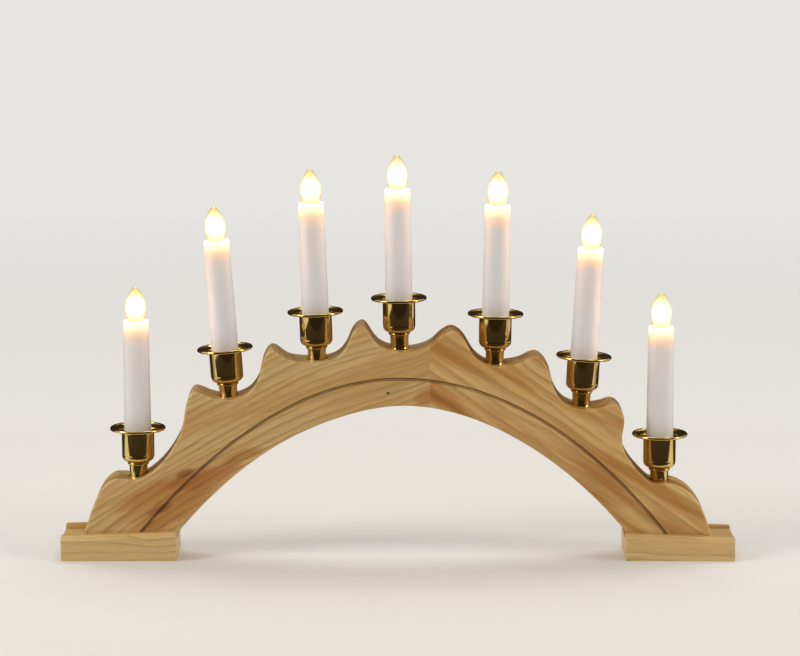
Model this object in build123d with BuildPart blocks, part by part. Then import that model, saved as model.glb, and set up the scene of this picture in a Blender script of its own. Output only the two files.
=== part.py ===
from build123d import *
import math
import os

os.makedirs("parts", exist_ok=True)

# An electric candle arch: a pine arch on two pine feet carries seven brass cups,
# each with a drip pan, a plastic candle and a small screw-in lamp.
# X runs along the arch, the front faces -Y, and Z is up from the table.

# Feet, which stand out past the arch at both ends
foot_stand_out = 12.5
foot_depth = 42.0
left_foot_length = 72.0
right_foot_length = 68.0
left_foot_outer_height = 15.4
left_foot_inner_height = 17.8
right_foot_outer_height = 14.2
right_foot_inner_height = 16.7
channel_floor = 12.4
foot_bevel = 2.6
foot_edge_round = 0.7

# Arch board
arch_thickness = 27.5
channel_clearance = 0.25
arch_span = 395.0
arch_rise = 134.9
arch_edge_round = 1.6
glue_joint_x = 20.0
trim_groove_width = 1.9
trim_groove_depth = 1.3

# Outline of the arch: across as a share of half its span, up as a share of its rise
outline_left_share = -1.0015
outline_right_share = 0.9975
toe_shares = [(-0.9833, 0.0673), (-0.9585, 0.1649), (-0.9276, 0.2485)]
tail_shares = [(0.8987, 0.2404), (0.9428, 0.1834), (0.9732, 0.0947)]
seat_left_shares = [-0.9003, -0.562, -0.3038, -0.0101, 0.2835, 0.5671, 0.8051]
seat_right_shares = [-0.8299, -0.5165, -0.238, 0.0506, 0.3443, 0.6228, 0.8405]
seat_height_shares = [0.2795, 0.659, 0.833, 0.882, 0.816, 0.616, 0.2624]
ridge_shares = [
    [(-0.762, 0.3321), (-0.7114, 0.4223), (-0.6744, 0.5481), (-0.6663, 0.622), (-0.642, 0.6908), (-0.6, 0.6731)],
    [(-0.4684, 0.6893), (-0.437, 0.7589), (-0.4243, 0.8365), (-0.3975, 0.8868), (-0.357, 0.8521)],
    [(-0.1914, 0.8536), (-0.157, 0.9164), (-0.1367, 0.9778), (-0.1139, 1.0), (-0.0851, 0.9541), (-0.0557, 0.9053)],
    [(0.1028, 0.9098), (0.1382, 0.9556), (0.1681, 0.9734), (0.2046, 0.9386), (0.2349, 0.8669)],
    [(0.3924, 0.8343), (0.4319, 0.8558), (0.4699, 0.8047), (0.4901, 0.7108), (0.5215, 0.6428)],
    [(0.6481, 0.625), (0.6714, 0.6346), (0.7089, 0.5814), (0.7053, 0.4815), (0.7316, 0.3669), (0.7696, 0.3003)],
]

# Under edge of the arch, from the left leg over to the right
under_shares = [
    (-0.7119, 0.0), (-0.559, 0.2409), (-0.3691, 0.4507), (-0.1803, 0.5738), (0.0081, 0.6264), (0.1965, 0.5856),
    (0.3858, 0.4611), (0.5757, 0.2565), (0.7382, 0.0),
]

# Trim groove along the front: its ends and its crown
trim_left_end_share = -0.8299
trim_right_end_share = 0.8597
trim_crown_share = 0.0076
trim_crown_rise_share = 0.7532
trim_left_share = 0.5
trim_right_near_share = 0.3476
trim_right_far_share = 0.6922
trim_right_far_rise_share = 0.6654

# Wiring groove in the back
lead_groove_width = 9.0
lead_groove_floor = -1.0
lead_groove_left_share = -0.8456
lead_groove_right_share = 0.8608
lead_groove_crown_share = -0.0101
lead_groove_crown_rise_share = 0.7272
lead_groove_drop_span_share = 0.8177
lead_groove_drop_share = 0.6264

# Lamps, left to right: place of each stem's foot, and its lean to the right in degrees
lamp_x_shares = [-0.8218, -0.5337, -0.2542, 0.0051, 0.3048, 0.5777, 0.8284]
lamp_z_shares = [0.2713, 0.6464, 0.8177, 0.8807, 0.8073, 0.6093, 0.2431]
lamp_leans = [-0.3, -4.0, -2.0, -0.8, 0.8, 3.0, 0.0]

# Candle cup, measured up its own axis from the wood
stem_radius = 5.8
stem_foot_radius = 6.3
stem_foot_height = 1.1
stem_height = 8.7
bead_radius = 6.7
bead_height = 1.3
neck_height = 0.4
cup_radius = 10.1
cup_wall = 0.8
cup_height = 29.6
bowl_height = 3.5
cup_floor_thickness = 1.2
spot_face_clearance = 0.3

# Drip pan
pan_sheet = 0.5
pan_radius = 16.4
pan_rim_height = 1.9
pan_flat_radius = 12.6
pan_rim_round = 0.95
collar_depth = 6.0
collar_clearance = 0.08

# Nipple and nut that hold a cup down
nipple_radius = 4.0
nipple_bore_radius = 2.9
nipple_sunk = 8.0
nipple_clearance = 0.15
nut_across_flats = 11.0
nut_height = 2.6
nut_seat_gap = 0.05

# Candle tube
tube_bottom_radius = 8.5
tube_top_radius = 7.9
tube_wall = 1.35
tube_top = 99.8
tube_bottom = 13.9
tube_lip_thickness = 1.5
tube_lip_bore = 6.2
tube_edge_round = 0.6

# Lamp: glass, cap and thread
lamp_tip = 121.0
glass_foot = 96.9
glass_wall = 0.6
glass_radius = 6.5
glass_neck_radius = 5.85
glass_foot_radius = 4.5
glass_neck_rise = 7.5
glass_tip_radius = 1.1
glass_shoulder_share = 0.09
glass_bulge_shares = [(0.985, 0.44), (1.0, 0.56), (0.93, 0.70), (0.74, 0.83), (0.46, 0.93), (0.2, 0.985)]
thread_pitch = 1.814
thread_core_radius = 4.2
thread_ridge_radius = 0.45
thread_clearance = 0.1
cap_thread_turns = 2.4
shell_thread_turns = 4.5
thread_lead_in_share = 0.1
cap_skirt_radius = 4.75
cap_skirt_height = 1.1
cap_cone_height = 0.9
cap_cone_radius = 2.0
cap_tip = 86.4
cap_tip_radius = 1.4
cap_tip_height = 0.5
lead_in_radius = 0.25
lead_in_spread = 1.9
lead_in_top = 110.0
filament_radius = 0.18
filament_sag = 1.5

# Lampholder inside the top of the candle
holder_radius = 6.5
holder_bottom = 78.6
holder_top = 95.7
holder_floor_bottom = 81.6
holder_floor_top = 83.0
holder_skirt_wall = 1.2
shell_wall = 0.3
shell_bottom = 86.9
shell_top = 95.4
shell_fit = 0.1

# Spring contact under the lamp
plunger_head_radius = 1.5
plunger_head_height = 0.8
plunger_shank_radius = 0.6
plunger_guide_clearance = 0.15
plunger_stop_radius = 1.0
plunger_stop_height = 0.5
plunger_contact_gap = 0.05
plunger_travel_spare = 0.1
spring_wire_radius = 0.16
spring_radius = 1.1
spring_turns = 4.0
spring_end_gap = 0.05

# Leads
lead_radius = 0.7
lead_offset = 2.0
lead_top_gap = 0.05
lead_turn_run = 7.0
lead_step = 18.0
lead_bend_share = 0.45
return_lead_drop = 3.4
return_lead_stop_share = 0.8101
keeper_length = 10.0
keeper_thickness = 3.0
keeper_y = 1.0
keeper_clearance = 0.1

# Screws up through the feet
screw_outer_inset = 26.0
screw_inner_inset = 13.0
screw_length = 20.0
screw_radius = 1.7
screw_head_radius = 3.4
screw_head_height = 2.1
screw_recess = 0.5
screw_clearance = 0.3
pilot_clearance = 0.05
screw_tip_height = 2.5
driver_slot_width = 0.9
driver_slot_length = 4.0
driver_slot_depth = 1.1

# One overrun serves all cuts
overrun = 30.0

half_thickness = arch_thickness / 2
half_arch = arch_span / 2
half_span = half_arch + foot_stand_out
trim_left_x = trim_left_end_share * half_arch
trim_right_x = trim_right_end_share * half_arch
trim_crown_x = trim_crown_share * half_arch
trim_crown_rise = trim_crown_rise_share * arch_rise
lead_groove_left_x = lead_groove_left_share * half_arch
lead_groove_right_x = lead_groove_right_share * half_arch
lead_groove_crown_x = lead_groove_crown_share * half_arch
lead_groove_crown_z = channel_floor + lead_groove_crown_rise_share * arch_rise
lead_groove_drop_span = lead_groove_drop_span_share * half_arch
lead_groove_drop = lead_groove_drop_share * arch_rise
return_lead_stop_x = return_lead_stop_share * half_arch
lamp_count = len(lamp_x_shares)


def outline_point(across_share, up_share):
    """A point of the arch's outline, across and up."""
    return (across_share * half_arch, channel_floor + up_share * arch_rise)


def lead_groove_z(x):
    """Height of the wiring groove's centre line."""
    return lead_groove_crown_z - lead_groove_drop * ((x - lead_groove_crown_x) / lead_groove_drop_span) ** 2


def write_piece(piece, name):
    """Label a finished piece and write it."""
    piece.label = name
    export_step(piece, f"parts/{name}.step")


def write_at_lamp(piece, name, number):
    """Write a copy of a lamp's piece at one of the seven places."""
    with BuildPart() as placed:
        with Locations(lamp_planes[number].location):
            add(piece)
    write_piece(placed.part, f"{name}_{number + 1}")


def write_group(piece, name):
    """Write one node that holds a copy of a piece at each of the seven places."""
    with BuildPart() as placed:
        with Locations(*[plane.location for plane in lamp_planes]):
            add(piece)
    write_piece(placed.part, name)


# Each lamp has a plane of its own: its origin is at the stem's foot and its Z is the candle's axis
lamp_planes = []
for x_share, z_share, lean in zip(lamp_x_shares, lamp_z_shares, lamp_leans):
    angle = math.radians(lean)
    lamp_planes.append(
        Plane(
            origin=(x_share * half_arch, 0, channel_floor + z_share * arch_rise),
            x_dir=(math.cos(angle), 0, -math.sin(angle)),
            z_dir=(math.sin(angle), 0, math.cos(angle)),
        )
    )

# Feet: sloped blocks with a channel for the arch, bevelled along the front and the back
left_screws = [
    (-half_span + screw_outer_inset, 0),
    (-half_span + left_foot_length - screw_inner_inset, 0),
]
right_screws = [
    (half_span - right_foot_length + screw_inner_inset, 0),
    (half_span - screw_outer_inset, 0),
]


def make_foot(outer_x, inner_x, outer_height, inner_height, screws):
    """One foot, with its channel and its screw holes."""
    with BuildPart() as foot:
        with BuildSketch(Plane.XZ):
            with BuildLine():
                Polyline((outer_x, 0), (inner_x, 0), (inner_x, inner_height), (outer_x, outer_height), close=True)
            make_face()
        extrude(amount=foot_depth / 2, both=True)
        top_edges = foot.faces().sort_by(Axis.Z)[-1].edges()
        chamfer(top_edges.sort_by(Axis.Y)[0], foot_bevel)
        top_edges = foot.faces().sort_by(Axis.Z)[-1].edges()
        chamfer(top_edges.sort_by(Axis.Y)[-1], foot_bevel)
        outer_edges = foot.edges().filter_by(lambda edge: edge.center().Z > foot_bevel)
        fillet(outer_edges, foot_edge_round)
        with BuildSketch(Plane.XY.offset(channel_floor)):
            with Locations(((outer_x + inner_x) / 2, 0)):
                Rectangle(abs(inner_x - outer_x) + overrun, arch_thickness + 2 * channel_clearance)
        extrude(amount=overrun, mode=Mode.SUBTRACT)
        with BuildSketch(Plane.XY):
            with Locations(*screws):
                Circle(screw_radius + screw_clearance)
        extrude(amount=overrun, mode=Mode.SUBTRACT)
        with BuildSketch(Plane.XY):
            with Locations(*screws):
                Circle(screw_head_radius + screw_clearance)
        extrude(amount=screw_recess, mode=Mode.SUBTRACT)
        for place in screws:
            with BuildSketch(Plane.XY.offset(screw_recess)):
                with Locations(place):
                    Circle(screw_head_radius + screw_clearance)
            with BuildSketch(Plane.XY.offset(screw_recess + screw_head_height)):
                with Locations(place):
                    Circle(screw_radius + screw_clearance)
            loft(mode=Mode.SUBTRACT)
    return foot.part


write_piece(
    make_foot(-half_span, -half_span + left_foot_length, left_foot_outer_height, left_foot_inner_height, left_screws),
    "foot_left",
)
write_piece(
    make_foot(half_span, half_span - right_foot_length, right_foot_outer_height, right_foot_inner_height, right_screws),
    "foot_right",
)

# Arch board, before it is parted at its glue joint
with BuildPart() as arch:
    with BuildSketch(Plane.XZ):
        with BuildLine():
            top_places = [outline_point(outline_left_share, 0)]
            top_places += [outline_point(*share) for share in toe_shares]
            seats = zip(seat_left_shares, seat_right_shares, seat_height_shares, ridge_shares + [tail_shares])
            for left, right, height, next_shares in seats:
                top_places += [outline_point(left, height), outline_point(right, height)]
                top_places += [outline_point(*share) for share in next_shares]
            top_places.append(outline_point(outline_right_share, 0))
            Spline(*top_places)
            under_places = [outline_point(*share) for share in under_shares]
            Spline(*under_places)
            Line(top_places[-1], under_places[-1])
            Line(under_places[0], top_places[0])
        make_face()
    extrude(amount=half_thickness, both=True)
    rim_edges = arch.faces().filter_by(Axis.Y).edges()
    rim_edges = rim_edges.filter_by(lambda edge: edge.center().Z > channel_floor + arch_edge_round)
    fillet(rim_edges, arch_edge_round)

    # Trim groove in the front
    trim_crown = (trim_crown_x, channel_floor + trim_crown_rise)
    with BuildSketch(Plane.XZ.offset(half_thickness)):
        with BuildLine():
            Bezier(
                (trim_left_x, channel_floor),
                (trim_crown_x + trim_left_share * (trim_left_x - trim_crown_x), trim_crown[1]),
                trim_crown,
            )
            trim_reach = trim_right_x - trim_crown_x
            Bezier(
                trim_crown,
                (trim_crown_x + trim_right_near_share * trim_reach, trim_crown[1]),
                (
                    trim_crown_x + trim_right_far_share * trim_reach,
                    channel_floor + trim_right_far_rise_share * trim_crown_rise,
                ),
                (trim_right_x, channel_floor),
            )
        trace(line_width=trim_groove_width)
    extrude(amount=-trim_groove_depth, mode=Mode.SUBTRACT)

    # Wiring groove in the back
    lead_groove_ends = (lead_groove_left_x, lead_groove_right_x)
    with BuildSketch(Plane.XZ.offset(-lead_groove_floor)):
        with BuildLine():
            spread = (lead_groove_left_x - lead_groove_crown_x) * (lead_groove_right_x - lead_groove_crown_x)
            Bezier(
                (lead_groove_left_x, lead_groove_z(lead_groove_left_x)),
                (
                    (lead_groove_left_x + lead_groove_right_x) / 2,
                    lead_groove_crown_z - lead_groove_drop * spread / lead_groove_drop_span**2,
                ),
                (lead_groove_right_x, lead_groove_z(lead_groove_right_x)),
            )
        trace(line_width=lead_groove_width)
        with Locations(*[(x, lead_groove_z(x)) for x in lead_groove_ends]):
            Circle(lead_groove_width / 2)
    extrude(amount=-overrun, mode=Mode.SUBTRACT)

    # Seats and bores for the lamps
    for plane in lamp_planes:
        with BuildSketch(plane):
            Circle(stem_foot_radius + spot_face_clearance)
        extrude(amount=overrun, mode=Mode.SUBTRACT)
        with BuildSketch(plane):
            Circle(nipple_radius + nipple_clearance)
        extrude(amount=lead_groove_z(plane.origin.X) - plane.origin.Z, mode=Mode.SUBTRACT)

    # Pilot holes for the screws
    with BuildSketch(Plane.XY.offset(channel_floor)):
        with Locations(*left_screws, *right_screws):
            Circle(screw_radius + pilot_clearance)
    extrude(amount=screw_recess + screw_length - channel_floor + screw_clearance, mode=Mode.SUBTRACT)

with BuildPart() as arch_left:
    add(arch.part)
    split(bisect_by=Plane.YZ.offset(glue_joint_x), keep=Keep.BOTTOM)
write_piece(arch_left.part, "arch_left")

with BuildPart() as arch_right:
    add(arch.part)
    split(bisect_by=Plane.YZ.offset(glue_joint_x), keep=Keep.TOP)
write_piece(arch_right.part, "arch_right")

# Screws, one node for the four
with BuildPart() as screw:
    with BuildSketch(Plane.XZ):
        with BuildLine():
            Polyline(
                (0, screw_recess),
                (screw_head_radius, screw_recess),
                (screw_radius, screw_recess + screw_head_height),
                (screw_radius, screw_recess + screw_length - screw_tip_height),
                (0, screw_recess + screw_length),
                close=True,
            )
        make_face()
    revolve(axis=Axis.Z)
    with BuildSketch(Plane.XY.offset(screw_recess)):
        Rectangle(driver_slot_length, driver_slot_width)
        Rectangle(driver_slot_width, driver_slot_length)
    extrude(amount=driver_slot_depth, mode=Mode.SUBTRACT)

with BuildPart() as foot_screws:
    with Locations(*left_screws, *right_screws):
        add(screw.part)
write_piece(foot_screws.part, "foot_screws")

# Candle cup: flared stem, bead, rounded bowl and thin wall, turned as one
cup_inside = cup_radius - cup_wall
bead_top = stem_height + bead_height
neck_top = bead_top + neck_height
cup_floor_top = bead_top + cup_floor_thickness
bowl_top = neck_top + bowl_height
stem_bore_radius = nipple_radius + nipple_clearance
with BuildPart() as candle_cup:
    with BuildSketch(Plane.XZ):
        with BuildLine():
            Polyline((stem_radius, stem_height), (stem_radius, stem_foot_height))
            TangentArc((stem_radius, stem_foot_height), (stem_foot_radius, 0), tangent=(0, -1))
            Polyline(
                (stem_foot_radius, 0),
                (stem_bore_radius, 0),
                (stem_bore_radius, cup_floor_top),
                (nut_across_flats / 2, cup_floor_top),
            )
            TangentArc((cup_inside, bowl_top), (nut_across_flats / 2, cup_floor_top), tangent=(0, -1))
            Polyline((cup_inside, bowl_top), (cup_inside, cup_height), (cup_radius, cup_height), (cup_radius, bowl_top))
            TangentArc((cup_radius, bowl_top), (bead_radius, neck_top), tangent=(0, -1))
            Line((bead_radius, neck_top), (stem_radius, bead_top))
            ThreePointArc(
                (stem_radius, bead_top),
                (bead_radius, (bead_top + stem_height) / 2),
                (stem_radius, stem_height),
            )
        make_face()
    revolve(axis=Axis.Z)

# Drip pan: collar inside the cup's mouth, flat on its lip, rising to a rolled rim
collar_outside = cup_inside - collar_clearance
collar_inside = collar_outside - pan_sheet
pan_top = cup_height + pan_sheet
with BuildPart() as drip_pan:
    with BuildSketch(Plane.XZ):
        with BuildLine():
            Polyline(
                (collar_inside, cup_height - collar_depth),
                (collar_outside, cup_height - collar_depth),
                (collar_outside, cup_height),
                (pan_flat_radius, cup_height),
                (pan_radius, cup_height + pan_rim_height),
                (pan_radius, cup_height + pan_rim_height + pan_sheet),
                (pan_flat_radius, pan_top),
                (collar_inside + pan_sheet, pan_top),
                (collar_inside, pan_top - pan_sheet),
                close=True,
            )
        make_face()
        with Locations((pan_radius, cup_height + pan_rim_height)):
            Circle(pan_rim_round)
    revolve(axis=Axis.Z)

# Nipple: a hollow threaded tube, drawn plain
with BuildPart() as cup_nipple:
    with BuildSketch(Plane.XY.offset(-nipple_sunk)):
        Circle(nipple_radius)
        Circle(nipple_bore_radius, mode=Mode.SUBTRACT)
    extrude(amount=nipple_sunk + cup_floor_top + nut_seat_gap + nut_height)

# Nut on the nipple, inside the cup
with BuildPart() as nipple_nut:
    with BuildSketch(Plane.XY.offset(cup_floor_top + nut_seat_gap)):
        RegularPolygon(nut_across_flats / 2, 6, major_radius=False)
        Circle(nipple_radius + nut_seat_gap, mode=Mode.SUBTRACT)
    extrude(amount=nut_height)

# Candle: a tapered tube with a lip that the lamp's neck passes through
tube_taper = (tube_bottom_radius - tube_top_radius) / (tube_top - tube_bottom)
tube_lip_bottom = tube_top - tube_lip_thickness
tube_lip_inside = tube_top_radius + tube_taper * tube_lip_thickness - tube_wall
with BuildPart() as candle_tube:
    with BuildSketch(Plane.XZ):
        with BuildLine():
            Polyline(
                (tube_bottom_radius, tube_bottom),
                (tube_top_radius, tube_top),
                (tube_lip_bore, tube_top),
                (tube_lip_bore, tube_lip_bottom),
                (tube_lip_inside, tube_lip_bottom),
                (tube_bottom_radius - tube_wall, tube_bottom),
                close=True,
            )
        make_face()
    revolve(axis=Axis.Z)
    fillet(candle_tube.edges().group_by(Axis.Z)[-1], tube_edge_round)

# Lampholder: plastic sleeve with a floor that guides the spring contact
shell_outside = thread_core_radius + thread_ridge_radius + 2 * thread_clearance + shell_wall
with BuildPart() as lamp_socket:
    with BuildSketch(Plane.XY.offset(holder_bottom)):
        Circle(holder_radius)
    extrude(amount=holder_top - holder_bottom)
    with BuildSketch(Plane.XY.offset(holder_bottom)):
        Circle(holder_radius - holder_skirt_wall)
    extrude(amount=holder_floor_bottom - holder_bottom, mode=Mode.SUBTRACT)
    with BuildSketch(Plane.XY.offset(holder_floor_top)):
        Circle(shell_outside + shell_fit)
    extrude(amount=holder_top - holder_floor_top, mode=Mode.SUBTRACT)
    with BuildSketch(Plane.XY.offset(holder_floor_bottom)):
        Circle(plunger_shank_radius + plunger_guide_clearance)
    extrude(amount=holder_floor_top - holder_floor_bottom, mode=Mode.SUBTRACT)

# Threaded brass shell, held in the lampholder
thread_start = shell_bottom + thread_lead_in_share * thread_pitch
with BuildPart() as socket_shell:
    with BuildSketch(Plane.XY.offset(shell_bottom)):
        Circle(shell_outside)
        Circle(thread_core_radius + thread_clearance, mode=Mode.SUBTRACT)
    extrude(amount=shell_top - shell_bottom)
    with BuildLine(Plane.XY.offset(thread_start)):
        shell_helix = Helix(thread_pitch, shell_thread_turns * thread_pitch, thread_core_radius)
    with BuildSketch(Plane(origin=shell_helix @ 0, z_dir=shell_helix % 0)):
        Circle(thread_ridge_radius + thread_clearance)
    sweep(path=shell_helix, is_frenet=True, mode=Mode.SUBTRACT)

# Lamp cap: threaded brass with a cone and a contact below, and the lead-in wires and filament above
cap_cone_top = shell_bottom + cap_cone_height
cap_top = glass_foot
with BuildPart() as bulb_cap:
    with BuildSketch(Plane.XZ):
        with BuildLine():
            Polyline(
                (0, cap_top),
                (cap_skirt_radius, cap_top),
                (cap_skirt_radius, cap_top - cap_skirt_height),
                (thread_core_radius, cap_top - cap_skirt_height),
                (thread_core_radius, cap_cone_top),
                (cap_cone_radius, cap_tip + cap_tip_height),
                (cap_tip_radius, cap_tip + cap_tip_height),
                (cap_tip_radius, cap_tip),
                (0, cap_tip),
                close=True,
            )
        make_face()
    revolve(axis=Axis.Z)
    with BuildLine(Plane.XY.offset(thread_start + thread_pitch)):
        cap_helix = Helix(thread_pitch, cap_thread_turns * thread_pitch, thread_core_radius)
    with BuildSketch(Plane(origin=cap_helix @ 0, z_dir=cap_helix % 0)):
        Circle(thread_ridge_radius)
    sweep(path=cap_helix, is_frenet=True)
    with BuildSketch(Plane.XY.offset(cap_top)):
        with Locations((-lead_in_spread, 0), (lead_in_spread, 0)):
            Circle(lead_in_radius)
    extrude(amount=lead_in_top - cap_top)
    with BuildLine():
        filament_line = ThreePointArc(
            (-lead_in_spread, 0, lead_in_top - filament_radius),
            (0, 0, lead_in_top + filament_sag),
            (lead_in_spread, 0, lead_in_top - filament_radius),
        )
    with BuildSketch(Plane(origin=filament_line @ 0, z_dir=filament_line % 0)):
        Circle(filament_radius)
    sweep(path=filament_line)

# Lamp glass: a flame-shaped shell, open where the cap closes it
glass_places = [
    (glass_foot_radius, glass_foot),
    (glass_neck_radius, glass_foot + (lamp_tip - glass_foot) * glass_shoulder_share),
    (glass_neck_radius, glass_foot + glass_neck_rise),
]
for radius_share, height_share in glass_bulge_shares:
    glass_places.append((glass_radius * radius_share, glass_foot + (lamp_tip - glass_foot) * height_share))
with BuildPart() as bulb_glass:
    with BuildSketch(Plane.XZ):
        with BuildLine():
            Spline(*glass_places, (0, lamp_tip), tangents=[(0.5, 1), (-1, 0)])
            inside_places = [(x - glass_wall, z) for x, z in glass_places]
            Line((0, lamp_tip), (0, lamp_tip - glass_tip_radius - glass_wall))
            Spline(
                *inside_places,
                (0, lamp_tip - glass_tip_radius - glass_wall),
                tangents=[(0.5, 1), (-1, 0)],
            )
            Line(inside_places[0], glass_places[0])
        make_face()
    revolve(axis=Axis.Z)

# Spring contact: a plunger whose shank passes through the lampholder's floor
plunger_top = cap_tip - plunger_contact_gap
plunger_stop_top = holder_floor_bottom - thread_pitch - plunger_travel_spare
with BuildPart() as contact_plunger:
    with BuildSketch(Plane.XY.offset(plunger_top - plunger_head_height)):
        Circle(plunger_head_radius)
    extrude(amount=plunger_head_height)
    with BuildSketch(Plane.XY.offset(plunger_stop_top)):
        Circle(plunger_shank_radius)
    extrude(amount=plunger_top - plunger_stop_top - plunger_head_height)
    with BuildSketch(Plane.XY.offset(plunger_stop_top - plunger_stop_height)):
        Circle(plunger_stop_radius)
    extrude(amount=plunger_stop_height)

# Coil spring around the shank, drawn pressed down by the lamp
spring_low = holder_floor_top + spring_end_gap + spring_wire_radius
spring_high = plunger_top - plunger_head_height - spring_end_gap - spring_wire_radius
with BuildPart() as contact_spring:
    with BuildLine(Plane.XY.offset(spring_low)):
        spring_helix = Helix((spring_high - spring_low) / spring_turns, spring_high - spring_low, spring_radius)
    with BuildSketch(Plane(origin=spring_helix @ 0, z_dir=spring_helix % 0)):
        Circle(spring_wire_radius)
    sweep(path=spring_helix, is_frenet=True)

for number in range(lamp_count):
    write_at_lamp(candle_cup.part, "candle_cup", number)
    write_at_lamp(drip_pan.part, "drip_pan", number)
    write_at_lamp(candle_tube.part, "candle_tube", number)
    write_at_lamp(socket_shell.part, "socket_shell", number)
    write_at_lamp(contact_plunger.part, "contact_plunger", number)
    write_at_lamp(bulb_glass.part, "bulb_glass", number)
    write_at_lamp(bulb_cap.part, "bulb_cap", number)
write_group(cup_nipple.part, "cup_nipples")
write_group(nipple_nut.part, "nipple_nuts")
write_group(lamp_socket.part, "lamp_sockets")
write_group(contact_spring.part, "contact_springs")

# Leads: two go down from each lampholder through its nipple; link leads join neighbours along the groove
lead_top = holder_floor_bottom - lead_top_gap


def groove_place(x, drop):
    """A place in the wiring groove, the drop being square to its centre line."""
    slope = -2 * lead_groove_drop * (x - lead_groove_crown_x) / lead_groove_drop_span**2
    length = math.hypot(1, slope)
    return (x + drop * slope / length, lead_groove_z(x) - drop / length)


def lead_place(number, across, height):
    """A place on a lead that runs along its candle's axis, at a height above the table."""
    plane = lamp_planes[number]
    lean_cos = plane.z_dir.Z
    lean_sin = plane.z_dir.X
    up = (height - plane.origin.Z + across * lean_sin) / lean_cos
    place = plane.from_local_coords((across, 0, up))
    return (place.X, place.Z)


def lead_end(number, across):
    """The upper end of a lead, under the lampholder's floor."""
    place = lamp_planes[number].from_local_coords((across, 0, lead_top))
    return (place.X, place.Z)


def lead_corners(number, across, side, drop):
    """Where a lead turns out of its bore into the groove, going right or left."""
    near_x = lamp_planes[number].origin.X + across
    if (lead_groove_crown_x - near_x) * side > 0:
        away = groove_place(near_x + side * lead_turn_run, drop)
        return [lead_place(number, across, away[1]), away]
    return [lead_place(number, across, lead_groove_z(near_x))]


def groove_run(start_x, end_x, drop):
    """Places along the groove between two corners."""
    steps = max(2, round(abs(end_x - start_x) / lead_step))
    return [groove_place(start_x + (end_x - start_x) * step / steps, drop) for step in range(1, steps)]


def bend_radii(places):
    """A bend radius for each corner, from the shorter run beside it."""
    radii = []
    for before, here, after in zip(places, places[1:], places[2:]):
        run_in = math.dist(before, here)
        run_out = math.dist(here, after)
        turn_in = math.atan2(here[1] - before[1], here[0] - before[0])
        turn_out = math.atan2(after[1] - here[1], after[0] - here[0])
        turn = abs(math.remainder(turn_out - turn_in, 2 * math.pi))
        radii.append(lead_bend_share * min(run_in, run_out) / math.tan(turn / 2))
    return radii


lead_routes = []
for number in range(lamp_count - 1):
    leaving = lead_corners(number, lead_offset, 1, 0)
    arriving = lead_corners(number + 1, -lead_offset, -1, 0)
    between = groove_run(leaving[-1][0], arriving[-1][0], 0)
    ends = (lead_end(number, lead_offset), lead_end(number + 1, -lead_offset))
    lead_routes.append([ends[0], *leaving, *between, *reversed(arriving), ends[1]])
leaving = lead_corners(0, -lead_offset, 1, return_lead_drop)
between = groove_run(leaving[-1][0], return_lead_stop_x, return_lead_drop)
return_stop = groove_place(return_lead_stop_x, return_lead_drop)
lead_routes.append([lead_end(0, -lead_offset), *leaving, *between, return_stop])

wiring_volume = 0
with BuildPart() as wiring_harness:
    for route in lead_routes:
        radii = bend_radii(route)
        print("lead bend radii", [round(radius, 1) for radius in radii])
        with BuildLine(Plane.XZ):
            lead_line = FilletPolyline(*route, radius=radii)
        with BuildSketch(Plane(origin=lead_line @ 0, z_dir=lead_line % 0)):
            Circle(lead_radius)
        sweep(path=lead_line)
        wiring_volume += math.pi * lead_radius**2 * lead_line.length

    # Supply lead, straight down to the groove under the last lamp
    last_lead_x = lamp_planes[-1].origin.X + lead_offset
    supply_top = lead_end(lamp_count - 1, lead_offset)
    supply_stop = lead_place(lamp_count - 1, lead_offset, lead_groove_z(last_lead_x))
    with BuildLine(Plane.XZ):
        supply_line = Line(supply_top, supply_stop)
    with BuildSketch(Plane(origin=supply_line @ 0, z_dir=supply_line % 0)):
        Circle(lead_radius)
    sweep(path=supply_line)
    wiring_volume += math.pi * lead_radius**2 * supply_line.length
print("wiring volume", round(wiring_harness.part.volume, 1), "section times length", round(wiring_volume, 1))
write_piece(wiring_harness.part, "wiring_harness")

# Keepers across the groove, midway between lamps
with BuildPart() as lead_keepers:
    for plane, next_plane in zip(lamp_planes, lamp_planes[1:]):
        keeper_x = (plane.origin.X + next_plane.origin.X) / 2
        slope = -2 * lead_groove_drop * (keeper_x - lead_groove_crown_x) / lead_groove_drop_span**2
        keeper_plane = Plane(origin=(keeper_x, keeper_y, lead_groove_z(keeper_x)), x_dir=(1, 0, slope), z_dir=(0, 1, 0))
        with BuildSketch(keeper_plane):
            Rectangle(keeper_length, lead_groove_width - 2 * keeper_clearance)
        extrude(amount=keeper_thickness)
write_piece(lead_keepers.part, "lead_keepers")
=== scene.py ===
import math

import bmesh
import bpy
from mathutils import Matrix, Vector


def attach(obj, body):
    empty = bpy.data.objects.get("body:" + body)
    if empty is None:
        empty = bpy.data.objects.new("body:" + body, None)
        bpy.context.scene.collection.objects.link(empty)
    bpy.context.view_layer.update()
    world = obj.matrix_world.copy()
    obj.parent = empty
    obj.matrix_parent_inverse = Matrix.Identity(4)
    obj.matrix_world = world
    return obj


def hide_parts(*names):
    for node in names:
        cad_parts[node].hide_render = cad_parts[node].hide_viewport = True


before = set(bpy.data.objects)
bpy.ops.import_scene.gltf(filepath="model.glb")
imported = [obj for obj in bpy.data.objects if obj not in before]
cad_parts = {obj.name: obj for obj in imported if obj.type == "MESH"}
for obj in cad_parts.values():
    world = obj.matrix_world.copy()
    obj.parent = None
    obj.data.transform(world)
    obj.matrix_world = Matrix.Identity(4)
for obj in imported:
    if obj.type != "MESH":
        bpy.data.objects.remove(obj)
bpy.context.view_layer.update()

MM = 0.001

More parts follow.
